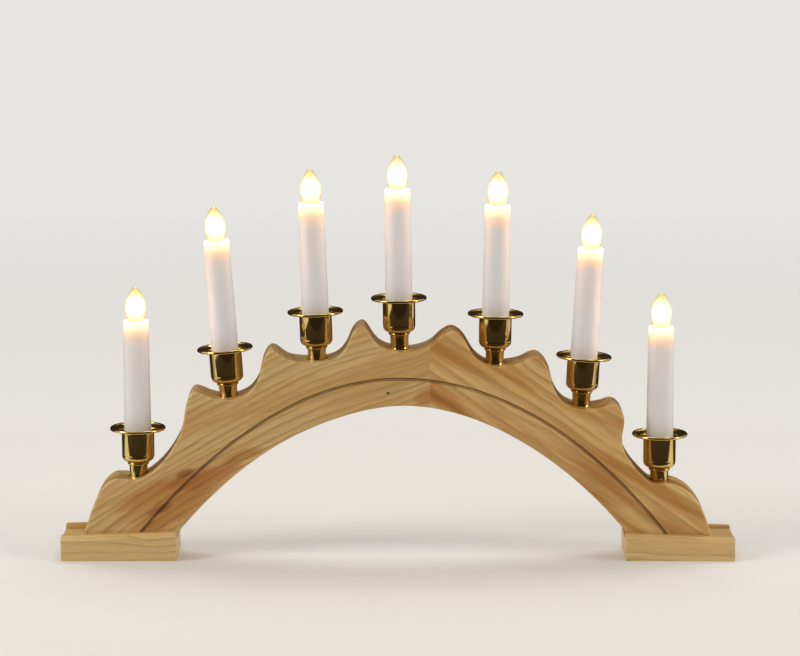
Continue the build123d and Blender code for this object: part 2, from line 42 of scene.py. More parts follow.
# Lamps, left to right, in millimetres and degrees: the foot of each stem, and how far its candle leans
CHANNEL_FLOOR = 12.4
HALF_ARCH = 197.5
ARCH_RISE = 134.9
LAMP_ACROSS = [-0.8218, -0.5337, -0.2542, 0.0051, 0.3048, 0.5777, 0.8284]
LAMP_UP = [0.2713, 0.6464, 0.8177, 0.8807, 0.8073, 0.6093, 0.2431]
LAMP_LEAN = [-0.3, -4.0, -2.0, -0.8, 0.8, 3.0, 0.0]
LAMP_NUMBERS = range(1, 8)


def lamp_place(number):
    """The matrix that sets a piece drawn on an upright candle's axis at one of the seven places."""
    lean = math.radians(LAMP_LEAN[number - 1])
    foot = (
        LAMP_ACROSS[number - 1] * HALF_ARCH * MM,
        0,
        (CHANNEL_FLOOR + LAMP_UP[number - 1] * ARCH_RISE) * MM,
    )
    return Matrix.Translation(foot) @ Matrix.Rotation(lean, 4, "Y")


# Materials

def paint(hex_value):
    """An sRGB hex colour as linear RGBA."""
    linear = []
    for start in (1, 3, 5):
        level = int(hex_value[start:start + 2], 16) / 255
        linear.append(level / 12.92 if level <= 0.04045 else ((level + 0.055) / 1.055) ** 2.4)
    return (*linear, 1.0)


def add_node(tree, kind, inputs=None, stops=(), **settings):
    """Add one node, with a value or a linked socket for each input, its settings and a ramp's stops."""
    node = tree.nodes.new(kind)
    for name, value in settings.items():
        setattr(node, name, value)
    for key, value in (inputs or {}).items():
        if isinstance(value, bpy.types.NodeSocket):
            tree.links.new(value, node.inputs[key])
        else:
            node.inputs[key].default_value = value
    for index, (place, colour) in enumerate(stops):
        elements = node.color_ramp.elements
        stop = elements[index] if index < len(elements) else elements.new(1.0)
        stop.position = place
        stop.color = paint(colour)
    return node


def start_material(name):
    """An empty material with its output."""
    material = bpy.data.materials.new(name)
    material.use_nodes = True
    material.node_tree.nodes.clear()
    return material, material.node_tree


def make_pine(name, slope, sweep, pith, ring_width, early, late, warm, stain, warm_share, warm_width, seed,
              late_from=0.78, groove_shade_tone=None):
    """Sawn and sanded pine under clear satin lacquer.

    slope is the grain's rise in degrees, sweep its bend along the board, and pith the way from the board to
    the tree's heart, in metres. early and late are the tones of a ring's two woods. warm is the honey tone
    of streaks that are warm_width metres wide and mixed in up to warm_share. stain lists dark or reddish
    patches: centre, half sizes, colour, strength.
    Late wood shows as darker lines from late_from of each ring on, and the fibres as fine streaks along
    the grain. The last argument is the tone of painted shade on the upper side of the trim groove, where the
    mesh carries that share as an attribute.
    """
    material, tree = start_material(name)
    place = add_node(tree, "ShaderNodeTexCoord").outputs["Object"]
    along = add_node(tree, "ShaderNodeMapping", {"Vector": place, "Rotation": (0, math.radians(slope), 0)})
    parts = add_node(tree, "ShaderNodeSeparateXYZ", {"Vector": along.outputs[0]})
    square = add_node(tree, "ShaderNodeMath", {
        0: parts.outputs["X"], 1: parts.outputs["X"]}, operation="MULTIPLY")
    bend = add_node(tree, "ShaderNodeMath", {0: square.outputs[0], 1: -sweep, 2: parts.outputs["Z"]},
                    operation="MULTIPLY_ADD")
    # Slow drift of the rings, about 60 mm long and 15 mm across
    drift_place = add_node(tree, "ShaderNodeMapping", {
        "Vector": along.outputs[0], "Location": (seed, seed, 0), "Scale": (16, 40, 60)})
    drift = add_node(tree, "ShaderNodeTexNoise", {
        "Vector": drift_place.outputs[0], "Scale": 1.0, "Detail": 2.0, "Roughness": 0.45})
    drift_centre = add_node(tree, "ShaderNodeVectorMath", {0: drift.outputs["Color"], 1: (0.5, 0.5, 0.5)},
                            operation="SUBTRACT")
    across = add_node(tree, "ShaderNodeCombineXYZ", {"Y": parts.outputs["Y"], "Z": bend.outputs[0]})
    from_pith = add_node(tree, "ShaderNodeVectorMath", {
        0: across.outputs[0], 1: (0, *pith)}, operation="SUBTRACT")
    wander = add_node(tree, "ShaderNodeVectorMath", {
        0: drift_centre.outputs[0], 1: (0, 0.009, 0.009), 2: from_pith.outputs[0]}, operation="MULTIPLY_ADD")
    wander_across = add_node(tree, "ShaderNodeVectorMath", {
        0: wander.outputs[0], 1: (0, 1, 1)}, operation="MULTIPLY")
    radius = add_node(tree, "ShaderNodeVectorMath", {0: wander_across.outputs[0]}, operation="LENGTH")
    ring_count = add_node(tree, "ShaderNodeMath", {0: radius.outputs["Value"], 1: 1 / ring_width},
                          operation="MULTIPLY")
    # Years of fast and slow growth: the count runs unevenly
    growth = add_node(tree, "ShaderNodeTexNoise", {"W": ring_count.outputs[0], "Scale": 0.31, "Detail": 1.0},
                      noise_dimensions="1D")
    ring_uneven = add_node(tree, "ShaderNodeMath", {
        0: growth.outputs["Fac"], 1: 1.6, 2: ring_count.outputs[0]},
        operation="MULTIPLY_ADD")
    ring = add_node(tree, "ShaderNodeMath", {0: ring_uneven.outputs[0]}, operation="FRACT")
    ring_tone = add_node(tree, "ShaderNodeValToRGB", {"Fac": ring.outputs[0]}, [
        (0.0, "#000000"), (0.58 * late_from, "#2A2A2A"), (late_from, "#9A9A9A"), (0.92, "#FFFFFF"),
        (1.0, "#101010")])
    # Each ring's late wood is more or less strong along the board
    strength_place = add_node(tree, "ShaderNodeMapping", {"Vector": along.outputs[0], "Scale": (9, 70, 70)})
    strength = add_node(tree, "ShaderNodeTexNoise", {
        "Vector": strength_place.outputs[0], "Scale": 1.0, "Detail": 3.0, "Roughness": 0.6})
    strength_range = add_node(tree, "ShaderNodeMapRange", {
        "Value": strength.outputs["Fac"], "From Min": 0.3, "From Max": 0.72, "To Min": 0.25, "To Max": 1.0})
    late_share = add_node(tree, "ShaderNodeMath", {
        0: ring_tone.outputs["Color"], 1: strength_range.outputs[0]},
        operation="MULTIPLY")
    ring_colour = add_node(tree, "ShaderNodeMix", {
        0: late_share.outputs[0], 6: paint(early), 7: paint(late)}, data_type="RGBA")
    # Honey and orange parts of the tree, broad streaks with the grain
    warm_place = add_node(tree, "ShaderNodeMapping", {
        "Vector": along.outputs[0], "Location": (seed, 0, seed),
        "Scale": (0.12 / warm_width, 1 / warm_width, 1 / warm_width)})
    warm_noise = add_node(tree, "ShaderNodeTexNoise", {
        "Vector": warm_place.outputs[0], "Scale": 1.0, "Detail": 2.0, "Roughness": 0.5})
    warm_range = add_node(tree, "ShaderNodeMapRange", {
        "Value": warm_noise.outputs["Fac"], "From Min": 0.41, "From Max": 0.61, "To Max": warm_share})
    colour = add_node(tree, "ShaderNodeMix", {
        0: warm_range.outputs[0], 6: ring_colour.outputs[2], 7: paint(warm)}, data_type="RGBA")
    # Fibres, 0.4 mm wide and drawn about 12 mm long
    fibre_place = add_node(tree, "ShaderNodeMapping", {"Vector": along.outputs[0], "Scale": (80, 1500, 1500)})
    fibre = add_node(tree, "ShaderNodeTexNoise", {
        "Vector": fibre_place.outputs[0], "Scale": 1.0, "Detail": 3.0, "Roughness": 0.6})
    fibre_range = add_node(tree, "ShaderNodeMapRange", {
        "Value": fibre.outputs["Fac"], "From Min": 0.25, "From Max": 0.75, "To Min": 0.84, "To Max": 1.12})
    fibre_colour = add_node(tree, "ShaderNodeVectorMath", {
        0: colour.outputs[2], 1: fibre_range.outputs[0]}, operation="MULTIPLY")
    surface_colour = fibre_colour.outputs[0]
    for centre, half_sizes, tone, share in stain:
        patch_place = add_node(tree, "ShaderNodeVectorMath", {
            0: along.outputs[0], 1: centre}, operation="SUBTRACT")
        patch_size = add_node(tree, "ShaderNodeVectorMath", {0: patch_place.outputs[0], 1: half_sizes},
                              operation="DIVIDE")
        patch_edge = add_node(
            tree, "ShaderNodeVectorMath",
            {0: drift_centre.outputs[0], 1: (1.6, 1.6, 1.6), 2: patch_size.outputs[0]},
            operation="MULTIPLY_ADD")
        patch_reach = add_node(tree, "ShaderNodeVectorMath", {0: patch_edge.outputs[0]}, operation="LENGTH")
        patch = add_node(tree, "ShaderNodeMapRange", {
            "Value": patch_reach.outputs["Value"], "From Min": 0.45, "From Max": 1.0, "To Min": share,
            "To Max": 0.0}, interpolation_type="SMOOTHSTEP")
        stained = add_node(
            tree, "ShaderNodeMix", {0: patch.outputs[0], 6: surface_colour, 7: paint(tone)},
            data_type="RGBA", blend_type="MULTIPLY")
        surface_colour = stained.outputs[2]
    # Painted shade: the upper side of the trim groove, where its upper edge casts a shadow, is multiplied
    # darker by the given tone
    if groove_shade_tone:
        groove_shade = add_node(tree, "ShaderNodeAttribute", attribute_name="groove_shade")
        groove_shade_share = add_node(tree, "ShaderNodeMapRange", {
            "Value": groove_shade.outputs["Fac"], "From Min": 0.4, "From Max": 0.75},
            interpolation_type="SMOOTHSTEP")
        dark = add_node(
            tree, "ShaderNodeMix", {0: groove_shade_share.outputs[0], 6: surface_colour, 7: paint(groove_shade_tone)},
            data_type="RGBA", blend_type="MULTIPLY")
        surface_colour = dark.outputs[2]
    # Sanding leaves the late wood a little proud, and the lacquer follows the fibres
    relief = add_node(tree, "ShaderNodeMath", {0: fibre.outputs["Fac"], 1: 0.6, 2: late_share.outputs[0]},
                      operation="MULTIPLY_ADD")
    bump = add_node(tree, "ShaderNodeBump", {
        "Height": relief.outputs[0], "Strength": 0.35, "Distance": 0.00008})
    gloss = add_node(tree, "ShaderNodeMapRange", {
        "Value": late_share.outputs[0], "To Min": 0.5, "To Max": 0.38})
    pine = add_node(tree, "ShaderNodeBsdfPrincipled", {
        "Base Color": surface_colour, "Roughness": gloss.outputs[0], "IOR": 1.52, "Normal": bump.outputs[0],
        "Coat Weight": 0.35, "Coat Roughness": 0.28, "Coat IOR": 1.5})
    add_node(tree, "ShaderNodeOutputMaterial", {"Surface": pine.outputs[0]})
    return material


def make_metal(name, colour, dark_colour, roughness, mark_height, mark_scale):
    """Turned or pressed metal: fine rings from the lathe and a little uneven lacquer or tarnish."""
    material, tree = start_material(name)
    place = add_node(tree, "ShaderNodeTexCoord").outputs["Object"]
    cloud = add_node(tree, "ShaderNodeTexNoise", {
        "Vector": place, "Scale": 260.0, "Detail": 3.0, "Roughness": 0.6})
    tone = add_node(tree, "ShaderNodeValToRGB", {
        "Fac": cloud.outputs["Fac"]}, [(0.3, colour), (0.8, dark_colour)])
    rough = add_node(tree, "ShaderNodeMapRange", {
        "Value": cloud.outputs["Fac"], "From Min": 0.3, "From Max": 0.8,
        "To Min": roughness, "To Max": roughness * 1.7})
    ring_place = add_node(tree, "ShaderNodeMapping", {
        "Vector": place, "Scale": (mark_scale / 30, mark_scale / 30, mark_scale)})
    rings = add_node(tree, "ShaderNodeTexNoise", {
        "Vector": ring_place.outputs[0], "Scale": 1.0, "Detail": 2.0})
    bump = add_node(tree, "ShaderNodeBump", {
        "Height": rings.outputs["Fac"], "Strength": 0.3, "Distance": mark_height})
    metal = add_node(tree, "ShaderNodeBsdfPrincipled", {
        "Base Color": tone.outputs["Color"], "Metallic": 1.0, "Roughness": rough.outputs[0],
        "Normal": bump.outputs[0]})
    add_node(tree, "ShaderNodeOutputMaterial", {"Surface": metal.outputs[0]})
    return material


def make_plastic(name, colour, shade, roughness, speckle_scale):
    """Moulded plastic with a faint unevenness of the mould's surface."""
    material, tree = start_material(name)
    place = add_node(tree, "ShaderNodeTexCoord").outputs["Object"]
    grain = add_node(tree, "ShaderNodeTexNoise", {"Vector": place, "Scale": speckle_scale, "Detail": 2.0})
    tone = add_node(tree, "ShaderNodeValToRGB", {"Fac": grain.outputs["Fac"]}, [(0.3, colour), (0.75, shade)])
    bump = add_node(tree, "ShaderNodeBump", {
        "Height": grain.outputs["Fac"], "Strength": 0.15, "Distance": 0.00002})
    plastic = add_node(tree, "ShaderNodeBsdfPrincipled", {
        "Base Color": tone.outputs["Color"], "Roughness": roughness, "IOR": 1.46, "Normal": bump.outputs[0]})
    add_node(tree, "ShaderNodeOutputMaterial", {"Surface": plastic.outputs[0]})
    return material


def make_candle_plastic():
    """Injection-moulded white polypropylene, a little translucent: the lit lamp shows through its top as
    cream and peach, and the light runs down the wall."""
    material, tree = start_material("white polypropylene candle sleeve")
    coords = add_node(tree, "ShaderNodeTexCoord")
    up = add_node(tree, "ShaderNodeSeparateXYZ", {"Vector": coords.outputs["UV"]}).outputs["Y"]
    mould = add_node(tree, "ShaderNodeTexNoise", {
        "Vector": coords.outputs["Object"], "Scale": 120.0, "Detail": 3.0, "Roughness": 0.5})
    uneven = add_node(tree, "ShaderNodeMath", {
        0: mould.outputs["Fac"], 1: 0.02, 2: up}, operation="MULTIPLY_ADD")
    body = add_node(tree, "ShaderNodeValToRGB", {"Fac": uneven.outputs[0]}, [
        (0.0, "#DEDBDD"), (0.5, "#E2DFE2"), (0.84, "#E8E0DC"), (0.91, "#F4DCC4"), (0.965, "#FFEBCB"),
        (1.0, "#FFF6E0")])
    glow = add_node(tree, "ShaderNodeValToRGB", {"Fac": uneven.outputs[0]}, [
        (0.0, "#000000"), (0.55, "#0A0505"), (0.82, "#22120D"), (0.88, "#6A3F2B"), (0.93, "#B88560"),
        (0.97, "#E9CFA4"), (1.0, "#FBEBCB")])
    bump = add_node(tree, "ShaderNodeBump", {
        "Height": mould.outputs["Fac"], "Strength": 0.1, "Distance": 0.00004})
    plastic = add_node(tree, "ShaderNodeBsdfPrincipled", {
        "Base Color": body.outputs["Color"], "Roughness": 0.36, "IOR": 1.49, "Normal": bump.outputs[0],
        "Subsurface Weight": 0.12, "Subsurface Radius": (0.004, 0.003, 0.002), "Subsurface Scale": 1.0,
        "Emission Color": glow.outputs["Color"], "Emission Strength": 0.75})
    add_node(tree, "ShaderNodeOutputMaterial", {"Surface": plastic.outputs[0]})
    return material


def make_lamp_glass():
    """Clear blown glass, warm with the light inside: straw yellow at the neck, palest at the belly."""
    material, tree = start_material("blown lamp glass")
    coords = add_node(tree, "ShaderNodeTexCoord")
    up = add_node(tree, "ShaderNodeSeparateXYZ", {"Vector": coords.outputs["UV"]}).outputs["Y"]
    ripple = add_node(tree, "ShaderNodeTexNoise", {
        "Vector": coords.outputs["Object"], "Scale": 380.0, "Detail": 1.0, "Roughness": 0.4})
    uneven = add_node(tree, "ShaderNodeMath", {
        0: ripple.outputs["Fac"], 1: 0.12, 2: up}, operation="MULTIPLY_ADD")
    glow = add_node(tree, "ShaderNodeValToRGB", {"Fac": uneven.outputs[0]}, [
        (0.12, "#8F8458"), (0.34, "#A89C6C"), (0.42, "#C8B98A"), (0.55, "#EBDDB8"), (0.72, "#E0D0A4"),
        (0.88, "#A89A66"), (1.0, "#857A50")])
    bump = add_node(tree, "ShaderNodeBump", {
        "Height": ripple.outputs["Fac"], "Strength": 0.12, "Distance": 0.0002})
    glass = add_node(tree, "ShaderNodeBsdfPrincipled", {
        "Base Color": paint("#FFF3D2"), "Roughness": 0.03, "IOR": 1.5, "Transmission Weight": 1.0,
        "Normal": bump.outputs[0], "Emission Color": glow.outputs["Color"], "Emission Strength": 0.3})
    add_node(tree, "ShaderNodeOutputMaterial", {"Surface": glass.outputs[0]})
    return material


def make_glow():
    """The glare around a lit filament: white hot in the middle, straw yellow towards neck and tip."""
    material, tree = start_material("filament glare")
    coords = add_node(tree, "ShaderNodeTexCoord")
    up = add_node(tree, "ShaderNodeSeparateXYZ", {"Vector": coords.outputs["UV"]}).outputs["Y"]
    flicker = add_node(tree, "ShaderNodeTexNoise", {
        "Vector": coords.outputs["Object"], "Scale": 420.0, "Detail": 1.0, "Roughness": 0.5})
    uneven = add_node(tree, "ShaderNodeMath", {
        0: flicker.outputs["Fac"], 1: 0.12, 2: up}, operation="MULTIPLY_ADD")
    heat = add_node(tree, "ShaderNodeValToRGB", {"Fac": uneven.outputs[0]}, [
        (0.02, "#D2C48C"), (0.14, "#F0E6BC"), (0.28, "#FFFAE8"), (0.5, "#FFFDF8"), (0.76, "#FFFCF2"),
        (0.9, "#F2E8C0"), (1.0, "#CABC88")])
    light = add_node(tree, "ShaderNodeEmission", {"Color": heat.outputs["Color"], "Strength": 1.7})
    add_node(tree, "ShaderNodeOutputMaterial", {"Surface": light.outputs[0]})
    return material


def make_tungsten():
    """Tungsten wire drawn to a fine coil, white hot."""
    material, tree = start_material("white hot tungsten wire")
    place = add_node(tree, "ShaderNodeTexCoord").outputs["Object"]
    uneven = add_node(tree, "ShaderNodeTexNoise", {"Vector": place, "Scale": 900.0, "Detail": 1.0})
    heat = add_node(tree, "ShaderNodeValToRGB", {
        "Fac": uneven.outputs["Fac"]}, [(0.3, "#FFE9B0"), (0.7, "#FFF8E2")])
    wire = add_node(tree, "ShaderNodeBsdfPrincipled", {
        "Base Color": paint("#6E6A66"), "Metallic": 1.0, "Roughness": 0.4,
        "Emission Color": heat.outputs["Color"], "Emission Strength": 3.0})
    add_node(tree, "ShaderNodeOutputMaterial", {"Surface": wire.outputs[0]})
    return material


# Reddish heartwood beside the trim groove of the left leg, a knot, and orange wood at the glue joint
LEFT_STAINS = [
    ((-0.118, -0.014, 0.0875), (0.052, 0.05, 0.0160), "#EACB98", 0.95),
    ((-0.092, -0.014, 0.0925), (0.030, 0.05, 0.0070), "#EACB98", 0.75),
    ((-0.066, -0.014, 0.0972), (0.020, 0.05, 0.0045), "#E6C38C", 0.85),
    ((-0.101, -0.014, 0.0995), (0.008, 0.05, 0.0032), "#B58455", 0.75),
    ((-0.128, -0.014, 0.0850), (0.012, 0.05, 0.0030), "#C79A66", 0.70),
    ((0.0338, -0.014, 0.1000), (0.0016, 0.02, 0.0011), "#5C3A1E", 0.90),
    ((0.0566, -0.014, 0.0893), (0.012, 0.05, 0.0060), "#E8C690", 0.80),
]
RIGHT_STAINS = [
    ((-0.035, -0.014, 0.1015), (0.030, 0.05, 0.0070), "#E4C28A", 0.80),
]
# The arch boards' last argument, #9A6C40, is the tone of painted shade on the trim groove's upper side
pine_left = make_pine("left arch board pine", 22, -0.75, (0.055, -0.120), 0.0042,
                      "#D0AC6E", "#9D743C", "#BD8B44", LEFT_STAINS, 0.55, 0.016, 3.1, 0.66, "#9A6C40")
pine_right = make_pine("right arch board pine", -33, 0.0, (0.030, 0.070), 0.0064,
                       "#D6AD6A", "#A4763A", "#B27A30", RIGHT_STAINS, 1.0, 0.011, 7.7, 0.52, "#9A6C40")
pine_foot_left = make_pine("left foot pine", 0.6, 0.0, (0.020, -0.035), 0.0034,
                           "#D3AF72", "#B28C50", "#C99D5A", (), 0.5, 0.022, 11.3)
pine_foot_right = make_pine("right foot pine", -1.2, 0.0, (0.045, 0.030), 0.0030,
                            "#D5B276", "#AC854C", "#C9A160", (), 0.5, 0.022, 17.9)
pine_keeper = make_pine("raw pine keeper", 10, 0.0, (0.050, 0.020), 0.0030,
                        "#D6B782", "#B5915A", "#CDA76B", (), 0.4, 0.022, 23.1)
brass_polished = make_metal("polished lacquered brass", "#EBD08A", "#DCBD6C", 0.06, 0.000004, 2600)
brass_turned = make_metal("brass as turned", "#D0AE62", "#B8934A", 0.22, 0.00002, 2600)
steel_spring = make_metal("drawn spring steel", "#B9B8B4", "#8F8E8A", 0.3, 0.00001, 2000)
zinc_screw = make_metal("zinc plated steel", "#C9C7BC", "#A8A694", 0.28, 0.00002, 1800)
candle_plastic = make_candle_plastic()
lamp_glass = make_lamp_glass()
glare = make_glow()
tungsten = make_tungsten()
holder_plastic = make_plastic("moulded urea lampholder plastic", "#D9D4C4", "#CBC4B0", 0.42, 700)
lead_sleeve = make_plastic("soft PVC wire sleeve", "#E6E3D8", "#D8D3C4", 0.38, 500)


# Meshes

def new_piece(name, mesh_data, material, body, *stands_for):
    """Put a finished mesh in the scene as one piece that rides on a body."""
    piece = bpy.data.objects.new(name, mesh_data)
    bpy.context.scene.collection.objects.link(piece)
    if material:
        mesh_data.materials.clear()
        mesh_data.materials.append(material)
    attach(piece, body)
    if stands_for:
        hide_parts(*stands_for)
    return piece


def arc(centre, radius, start, end, steps):
    """Points of an arc in a profile: centre (r, z), angles in degrees."""
    points = []
    for step in range(steps + 1):
        angle = math.radians(start + (end - start) * step / steps)
        points.append((centre[0] + radius * math.cos(angle), centre[1] + radius * math.sin(angle)))
    return points


def smooth_run(points, steps):
    """A smooth run through profile points, in that many steps from each to the next."""
    run = []
    for index in range(len(points) - 1):
        before = points[max(index - 1, 0)]
        start, end = points[index], points[index + 1]
        after = points[min(index + 2, len(points) - 1)]
        for step in range(steps):
            t = step / steps
            run.append(tuple(
                0.5 * (2 * b + (c - a) * t + (2 * a - 5 * b + 4 * c - d) * t**2
                       + (3 * b - a - 3 * c + d) * t**3)
                for a, b, c, d in zip(before, start, end, after)))
    run.append(points[-1])
    return run


def turned(profile, place, low, high, segments=96, closed=True, sharp_angle=38):
    """Turn a profile (r, z in mm) about the candle's axis. V of its UV map runs from low to high."""
    mesh = bmesh.new()
    uv = mesh.loops.layers.uv.new("turned")
    rings = []
    for r, z in profile:
        if r < 1e-6:
            rings.append([mesh.verts.new(place @ Vector((0, 0, z * MM)))])
            continue
        ring = []
        for step in range(segments):
            angle = 2 * math.pi * step / segments
            point = Vector((r * math.cos(angle), r * math.sin(angle), z)) * MM
            ring.append(mesh.verts.new(place @ point))
        rings.append(ring)
    count = len(profile)
    for index in range(count if closed else count - 1):
        ring, next_ring = rings[index], rings[(index + 1) % count]
        heights = [(profile[i % count][1] - low) / (high - low) for i in (index, index + 1)]
        for step in range(segments):
            following = (step + 1) % segments
            if len(ring) == 1 and len(next_ring) == 1:
                continue
            if len(ring) == 1:
                corners = [(ring[0], 0.5, 0), (next_ring[step], 0, 1), (next_ring[following], 1, 1)]
            elif len(next_ring) == 1:
                corners = [(ring[step], 0, 0), (next_ring[0], 0.5, 1), (ring[following], 1, 0)]
            else:
                corners = [(ring[step], 0, 0), (next_ring[step], 0, 1), (next_ring[following], 1, 1),
                           (ring[following], 1, 0)]
            face = mesh.faces.new([corner[0] for corner in corners])
            face.smooth = True
            for loop, (_, side, level) in zip(face.loops, corners):
                loop[uv].uv = ((step + side) / segments, heights[level])
    bmesh.ops.recalc_face_normals(mesh, faces=mesh.faces)
    for edge in mesh.edges:
        if edge.is_manifold and edge.calc_face_angle(0) > math.radians(sharp_angle):
            edge.smooth = False
    data = bpy.data.meshes.new("turned")
    mesh.to_mesh(data)
    mesh.free()
    return data


def smoothed_copy(node, sharp_angle=32):
    """A welded copy of a sawn piece's mesh with soft shading on its rounded edges."""
    mesh = bmesh.new()
    mesh.from_mesh(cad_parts[node].data)
    bmesh.ops.remove_doubles(mesh, verts=mesh.verts, dist=0.000002)
    for face in mesh.faces:
        face.smooth = True
    for edge in mesh.edges:
        if not edge.is_manifold or edge.calc_face_angle(0) > math.radians(sharp_angle):
            edge.smooth = False
    data = bpy.data.meshes.new(node)
    mesh.to_mesh(data)
    mesh.free()
    piece = bpy.data.objects.new(node + "_smooth", data)
    bpy.context.scene.collection.objects.link(piece)
    weighted = piece.modifiers.new("weighted", "WEIGHTED_NORMAL")
    weighted.keep_sharp = True
    weighted.weight = 60
    evaluated = piece.evaluated_get(bpy.context.evaluated_depsgraph_get())
    result = bpy.data.meshes.new_from_object(evaluated)
    bpy.data.objects.remove(piece)
    return result


# Trim groove, in mm: its centre line along the front as it is cut, its depths, and how far its walls reach
TRIM_LEFT = [(-163.9, 12.4), (-81.2, 114.0), (1.5, 114.0)]
TRIM_RIGHT = [(1.5, 114.0), (60.0, 114.0), (118.0, 80.0), (169.8, 12.4)]
TRIM_FRONT, TRIM_BACK = -13.74, -12.3
TRIM_REACH = 1.25
TRIM_STEPS = 60


def bezier_point(controls, t):
    """A point of a Bezier curve by repeated division."""
    points = controls
    while len(points) > 1:
        points = [tuple(a + (b - a) * t for a, b in zip(p, q)) for p, q in zip(points, points[1:])]
    return points[0]


TRIM_LINE = [bezier_point(TRIM_LEFT, step / TRIM_STEPS) for step in range(TRIM_STEPS + 1)]
TRIM_LINE += [bezier_point(TRIM_RIGHT, step / TRIM_STEPS) for step in range(1, TRIM_STEPS + 1)]


def above_trim_line(point):
    """How far above the trim groove's centre line a point of the front lies, in mm."""
    x, z = point.x / MM, point.z / MM
    nearest, above = 1e9, 0.0
    for (ax, az), (bx, bz) in zip(TRIM_LINE, TRIM_LINE[1:]):
        along_x, along_z = bx - ax, bz - az
        t = ((x - ax) * along_x + (z - az) * along_z) / (along_x**2 + along_z**2)
        t = min(max(t, 0), 1)
        reach = math.hypot(x - ax - t * along_x, z - az - t * along_z)
        if reach < nearest:
            nearest = reach
            above = math.copysign(reach, along_x * (z - az) - along_z * (x - ax))
    return above


def paint_groove_shade(data):
    """Paint shade on the upper side of the trim groove, where its upper edge casts a shadow; its lower side
    stays pale.
    """
    groove_shade = data.attributes.new("groove_shade", "FLOAT", "CORNER")
    for face in data.polygons:
        if TRIM_FRONT < face.center.y / MM < TRIM_BACK and abs(above_trim_line(face.center)) < TRIM_REACH:
            for corner in face.loop_indices:
                point = data.vertices[data.loops[corner].vertex_index].co
                groove_shade.data[corner].value = 1.0 if above_trim_line(point) > 0 else 0.0


# Wooden pieces
for node, pine in (("arch_left", pine_left), ("arch_right", pine_right), ("foot_left", pine_foot_left),
                   ("foot_right", pine_foot_right)):
    data = smoothed_copy(node)
    if node.startswith("arch"):
        # The arch boards carry the share of painted shade on the trim groove's upper side
        paint_groove_shade(data)
    new_piece(node + "_board", data, pine, "root", node)

# Candle cup, in mm up the candle's axis: waisted stem with a flared foot, bead, rounded bowl, straight wall
# with a rolled lip, and the hollow inside with its floor
CUP_HEIGHT = 29.6
CUP_PROFILE = [
    *smooth_run([(6.3, 0.0), (6.22, 0.35), (5.86, 1.1), (5.66, 2.4), (5.6, 4.6), (5.68, 6.9), (5.8, 8.7)], 3),
    *arc((5.85, 9.35), 0.85, -80, 80, 10),
    (5.95, 10.3),
    *smooth_run([(6.7, 10.45), (8.2, 10.95), (9.35, 11.95), (9.9, 13.1), (10.06, 14.3)], 5),
    (10.0, 14.75), (9.98, 14.95), (10.02, 15.15),
    (10.08, 15.4), (10.08, 28.6),
    *arc((9.7, 29.2), 0.4, 0, 180, 8),
    (9.3, 28.9), (9.3, 13.9),
    *smooth_run([(9.3, 13.9), (8.9, 12.4), (7.6, 11.5), (5.5, 11.2)], 4),
    (4.2, 11.2), (4.2, 0.0),
]

# Drip pan: collar in the cup's mouth, flat on its lip, dish rising to a rolled rim
PAN_FOOT, PAN_TOP = 23.6, 32.4
PAN_PROFILE = [
    (8.65, PAN_FOOT), (9.14, PAN_FOOT), (9.14, 29.4), (9.3, 29.62),
    (12.0, 29.62), *smooth_run([(12.6, 29.66), (14.0, 30.0), (15.2, 30.6), (15.75, 31.0)], 4),
    *arc((16.4, 31.5), 0.93, -145, 145, 18),
    *smooth_run([(15.6, 31.75), (14.9, 31.15), (13.7, 30.5), (12.6, 30.16), (11.8, 30.1)], 4),
    (9.3, 30.08), *arc((9.15, 29.6), 0.48, 90, 180, 5),
]

# Candle sleeve: tapered, its top edge rounded over to the lip that the lamp's neck passes
TUBE_FOOT, TUBE_TOP = 13.9, 99.8
TUBE_PROFILE = [
    (8.5, TUBE_FOOT), (8.42, 25.0), (8.2, 57.0), (7.98, 88.0), (7.91, 98.4),
    *arc((7.0, 98.9), 0.9, 0, 90, 8),
    *arc((6.55, 99.45), 0.35, 90, 180, 4),
    (6.2, 98.3), (6.55, 98.3), (6.9, 57.0), (7.15, TUBE_FOOT),
]

# Lamp glass: neck, shoulder step and flame, with the sealed tip
GLASS_FOOT, GLASS_TIP = 96.9, 121.0
GLASS_OUTSIDE = smooth_run([
    (4.5, GLASS_FOOT), (5.1, 97.7), (5.7, 98.7), (5.85, 99.8), (5.87, 101.2), (6.05, 102.6), (6.34, 104.2),
    (6.48, 105.9), (6.5, 107.6), (6.38, 109.4), (6.06, 111.4), (5.5, 113.4), (4.78, 115.2), (3.85, 116.9),
    (2.8, 118.5), (1.8, 119.8), (0.9, 120.65), (0.0, GLASS_TIP)], 3)
# The inside follows it a wall's thickness in, and from GLASS_CLOSING up also down from the tip
GLASS_WALL, GLASS_CLOSING = 0.6, 112.0
GLASS_INSIDE = [
    (r - GLASS_WALL, z - GLASS_WALL * max(z - GLASS_CLOSING, 0.0) / (GLASS_TIP - GLASS_CLOSING))
    for r, z in reversed(GLASS_OUTSIDE) if r > GLASS_WALL + 0.15]
GLASS_PROFILE = [*GLASS_OUTSIDE, (0.0, 120.1), *GLASS_INSIDE]

# Glare around the filament, inside the glass
GLARE_FOOT, GLARE_TIP = 99.4, 118.8
GLARE_PROFILE = smooth_run([
    (0.0, GLARE_FOOT), (1.6, 99.6), (3.1, 100.4), (4.3, 101.8), (5.1, 103.6), (5.55, 105.6), (5.62, 107.5),
    (5.4, 109.4), (4.95, 111.4), (4.25, 113.3), (3.35, 115.1), (2.35, 116.7), (1.3, 118.0), (0.6, 118.6),
    (0.0, GLARE_TIP)], 3)

